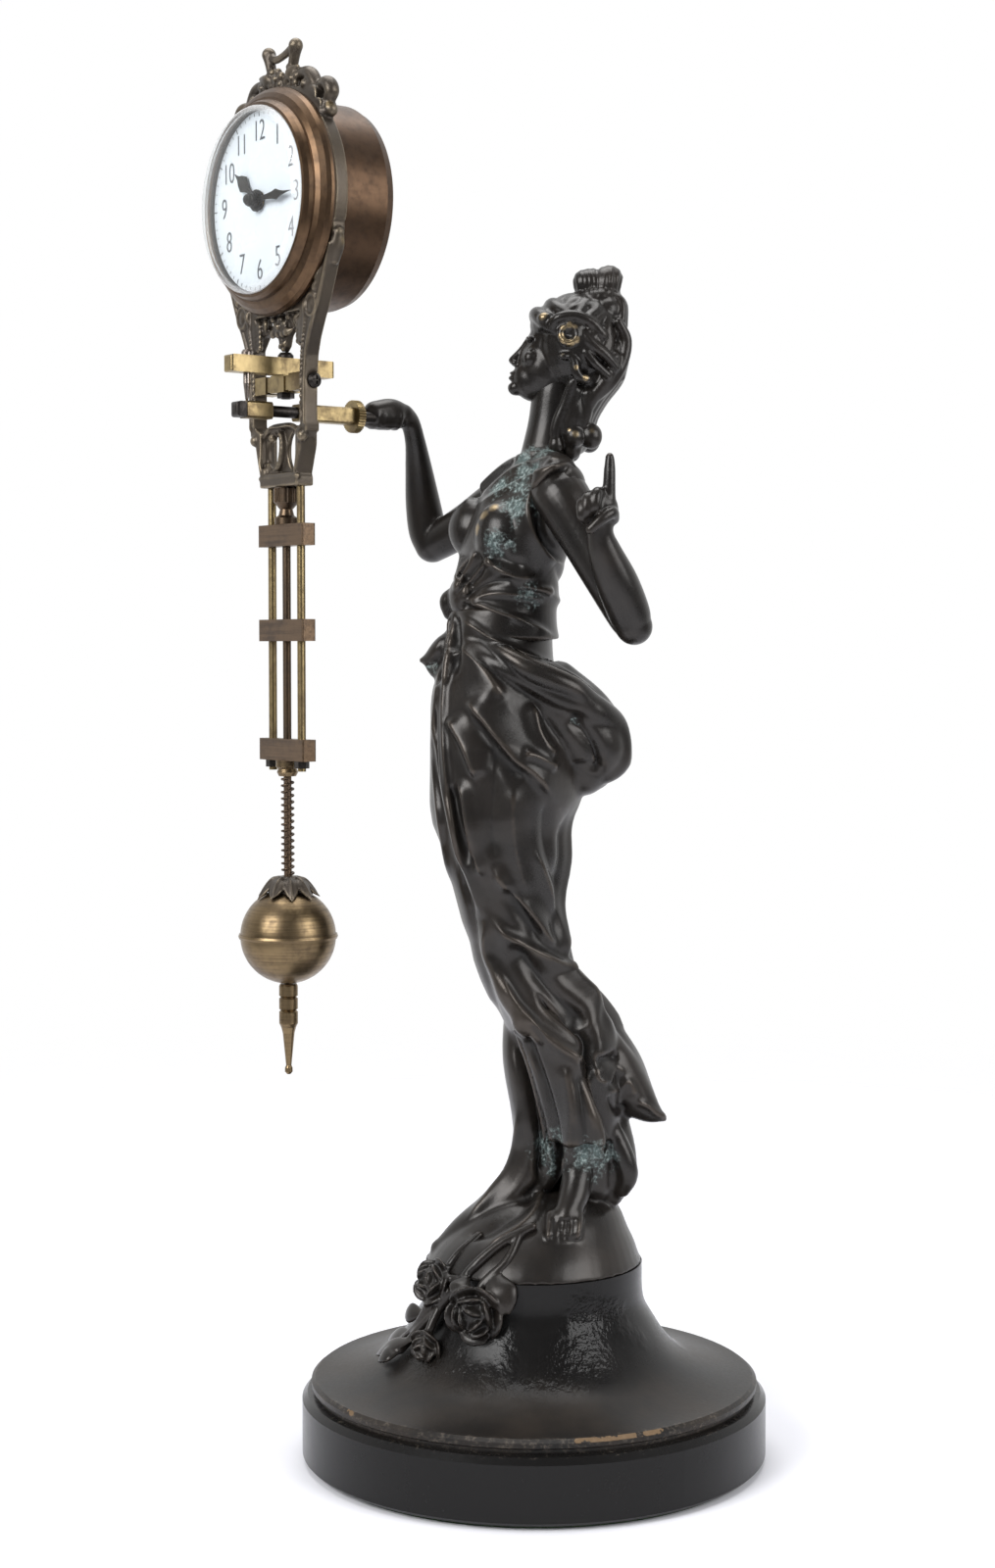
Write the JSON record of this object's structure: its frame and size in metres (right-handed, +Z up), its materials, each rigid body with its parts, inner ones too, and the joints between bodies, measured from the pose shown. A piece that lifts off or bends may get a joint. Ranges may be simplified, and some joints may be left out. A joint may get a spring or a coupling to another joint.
{
  "type": "mystery clock",
  "caption": "Table clock on a turned wooden base: a draped metal figure holds out a bar whose needle cups carry a swinging drum clock with lyre frame, gridiron rods and ball bob.",
  "frame": {"origin": "centre of the base's underside, on the table", "axes": "+Z up; the dial faces -Y; the swing axis lies along Y and the figure's near arm is towards +X"},
  "size_m": [0.1212, 0.1308, 0.3603],
  "materials": {
    "ebonised_wood": "black stained and polished, chipped at the rim",
    "felt": "thin felt",
    "steel": "plain",
    "dark_bronze": "brown-black patina with green verdigris and worn bright edges",
    "dark_steel": "blackened",
    "worn_brass": "brushed, tarnished",
    "needle_steel": "ground",
    "frame_bronze": "cast, browned, bright on the high spots",
    "copper_brown": "lacquered copper brown",
    "clear_glass": "domed, clear",
    "white_enamel": "white with thin grey printing",
    "movement_brass": "machined",
    "movement_steel": "machined",
    "bob_filling": "cast filling"
  },
  "bodies": {
    "stand": {"base_pad": "felt", "wood_base": "ebonised_wood", "base_washer": "steel", "base_bolt": "steel", "figure_body": "dark_bronze", "right_arm": "dark_bronze", "left_arm": "dark_bronze", "rose_spray": "dark_bronze", "support_rod": "dark_steel", "rear_cup": "worn_brass", "front_cup": "worn_brass", "support_cap": "dark_steel"},
    "lock_nut": {"lock_nut": "worn_brass"},
    "swing_unit": {"frame_casting": "frame_bronze", "cross_bar": "worn_brass", "frame_screws": "dark_steel", "pivot_bar": "worn_brass", "needle_pins": "needle_steel", "bar_screw": "dark_steel", "bar_nut": "dark_steel", "drum_case": "copper_brown", "bezel": "copper_brown", "glass": "clear_glass", "dial": "white_enamel", "front_plate": "movement_brass", "back_plate": "movement_brass", "plate_pillars": "movement_brass", "case_screws": "needle_steel", "grid_rods": "worn_brass", "centre_grid_rod": "dark_steel", "grid_yokes": "worn_brass", "fluted_nut": "dark_steel", "rod_end_nuts": "dark_steel", "pendulum_boss": "worn_brass", "bob_rod": "worn_brass", "bob_spring": "needle_steel"},
    "minute_train": {"centre_arbor": "needle_steel", "cannon_pinion": "movement_brass", "centre_wheel": "movement_brass", "minute_hand": "dark_steel", "hand_nut": "dark_steel", "set_knob": "movement_brass"},
    "minute_wheel": {"minute_wheel": "movement_brass"},
    "hour_train": {"hour_wheel": "movement_brass", "hour_hand": "dark_steel"},
    "barrel": {"barrel": "movement_brass", "mainspring": "movement_steel"},
    "winding": {"winding_arbor": "movement_steel", "ratchet_wheel": "movement_steel", "winding_key": "movement_brass"},
    "click": {"click": "movement_steel"},
    "third_wheel": {"third_wheel": "movement_brass"},
    "escape_wheel": {"escape_wheel": "movement_brass"},
    "pallets": {"pallets": "movement_steel", "inner_pendulum": "movement_brass"},
    "bob": {"leaf_cap": "frame_bronze", "bob_upper_shell": "worn_brass", "bob_lower_shell": "worn_brass", "bob_core": "bob_filling"},
    "rating_nut": {"rating_nut": "worn_brass"}
  },
  "joints": [
    {"name": "swing", "type": "hinge", "parent": "stand", "child": "swing_unit", "pos_m": [-0.033, -0.0538, 0.2708], "axis": [0, 1, 0], "range_deg": [-5, 5]},
    {"name": "lock_nut_turn", "type": "hinge", "parent": "stand", "child": "lock_nut", "pos_m": [-0.033, -0.0332, 0.26867], "axis": [0, 1, 0], "range_deg": [0, 40]},
    {"name": "minute_turn", "type": "hinge", "parent": "swing_unit", "child": "minute_train", "pos_m": [-0.033, -0.0538, 0.3207], "axis": [0, 1, 0], "continuous": true},
    {"name": "minute_wheel_turn", "type": "hinge", "parent": "swing_unit", "child": "minute_wheel", "pos_m": [-0.02906, -0.0538, 0.32812], "axis": [0, 1, 0], "continuous": true},
    {"name": "hour_turn", "type": "hinge", "parent": "swing_unit", "child": "hour_train", "pos_m": [-0.033, -0.0538, 0.3207], "axis": [0, 1, 0], "continuous": true},
    {"name": "barrel_turn", "type": "hinge", "parent": "swing_unit", "child": "barrel", "pos_m": [-0.04217, -0.0538, 0.31428], "axis": [0, 1, 0], "continuous": true},
    {"name": "third_turn", "type": "hinge", "parent": "swing_unit", "child": "third_wheel", "pos_m": [-0.02341, -0.0538, 0.31866], "axis": [0, 1, 0], "continuous": true},
    {"name": "escape_turn", "type": "hinge", "parent": "swing_unit", "child": "escape_wheel", "pos_m": [-0.02167, -0.0538, 0.32688], "axis": [0, 1, 0], "continuous": true},
    {"name": "winding_turn", "type": "hinge", "parent": "swing_unit", "child": "winding", "pos_m": [-0.04217, -0.0538, 0.31428], "axis": [0, 1, 0], "continuous": true},
    {"name": "click_rock", "type": "hinge", "parent": "swing_unit", "child": "click", "pos_m": [-0.04317, -0.0538, 0.30688], "axis": [0, 1, 0], "range_deg": [0, 12], "stiffness_Nm_per_rad": 0.0004, "springref_deg": -17.19},
    {"name": "pallet_rock", "type": "hinge", "parent": "swing_unit", "child": "pallets", "pos_m": [-0.02367, -0.0538, 0.33448], "axis": [0, 1, 0], "range_deg": [-3, 3]},
    {"name": "bob_slide", "type": "slide", "parent": "swing_unit", "child": "bob", "axis": [0, 0, 1], "range_m": [-0.0015, 0.0015], "deforming": ["bob_spring"]},
    {"name": "nut_turn", "type": "hinge", "parent": "bob", "child": "rating_nut", "pos_m": [-0.033, -0.0538, 0.1208], "axis": [0, 0, 1], "range_deg": [-1080, 1080]}
  ],
  "couplings": [
    {"joint": "minute_wheel_turn", "follows": "minute_turn", "ratio": -0.33333},
    {"joint": "hour_turn", "follows": "minute_turn", "ratio": 0.083333},
    {"joint": "barrel_turn", "follows": "minute_turn", "ratio": -0.16667},
    {"joint": "third_turn", "follows": "minute_turn", "ratio": -6},
    {"joint": "escape_turn", "follows": "minute_turn", "ratio": 36},
    {"joint": "nut_turn", "follows": "bob_slide", "rad_per_m": 12566}
  ]
}
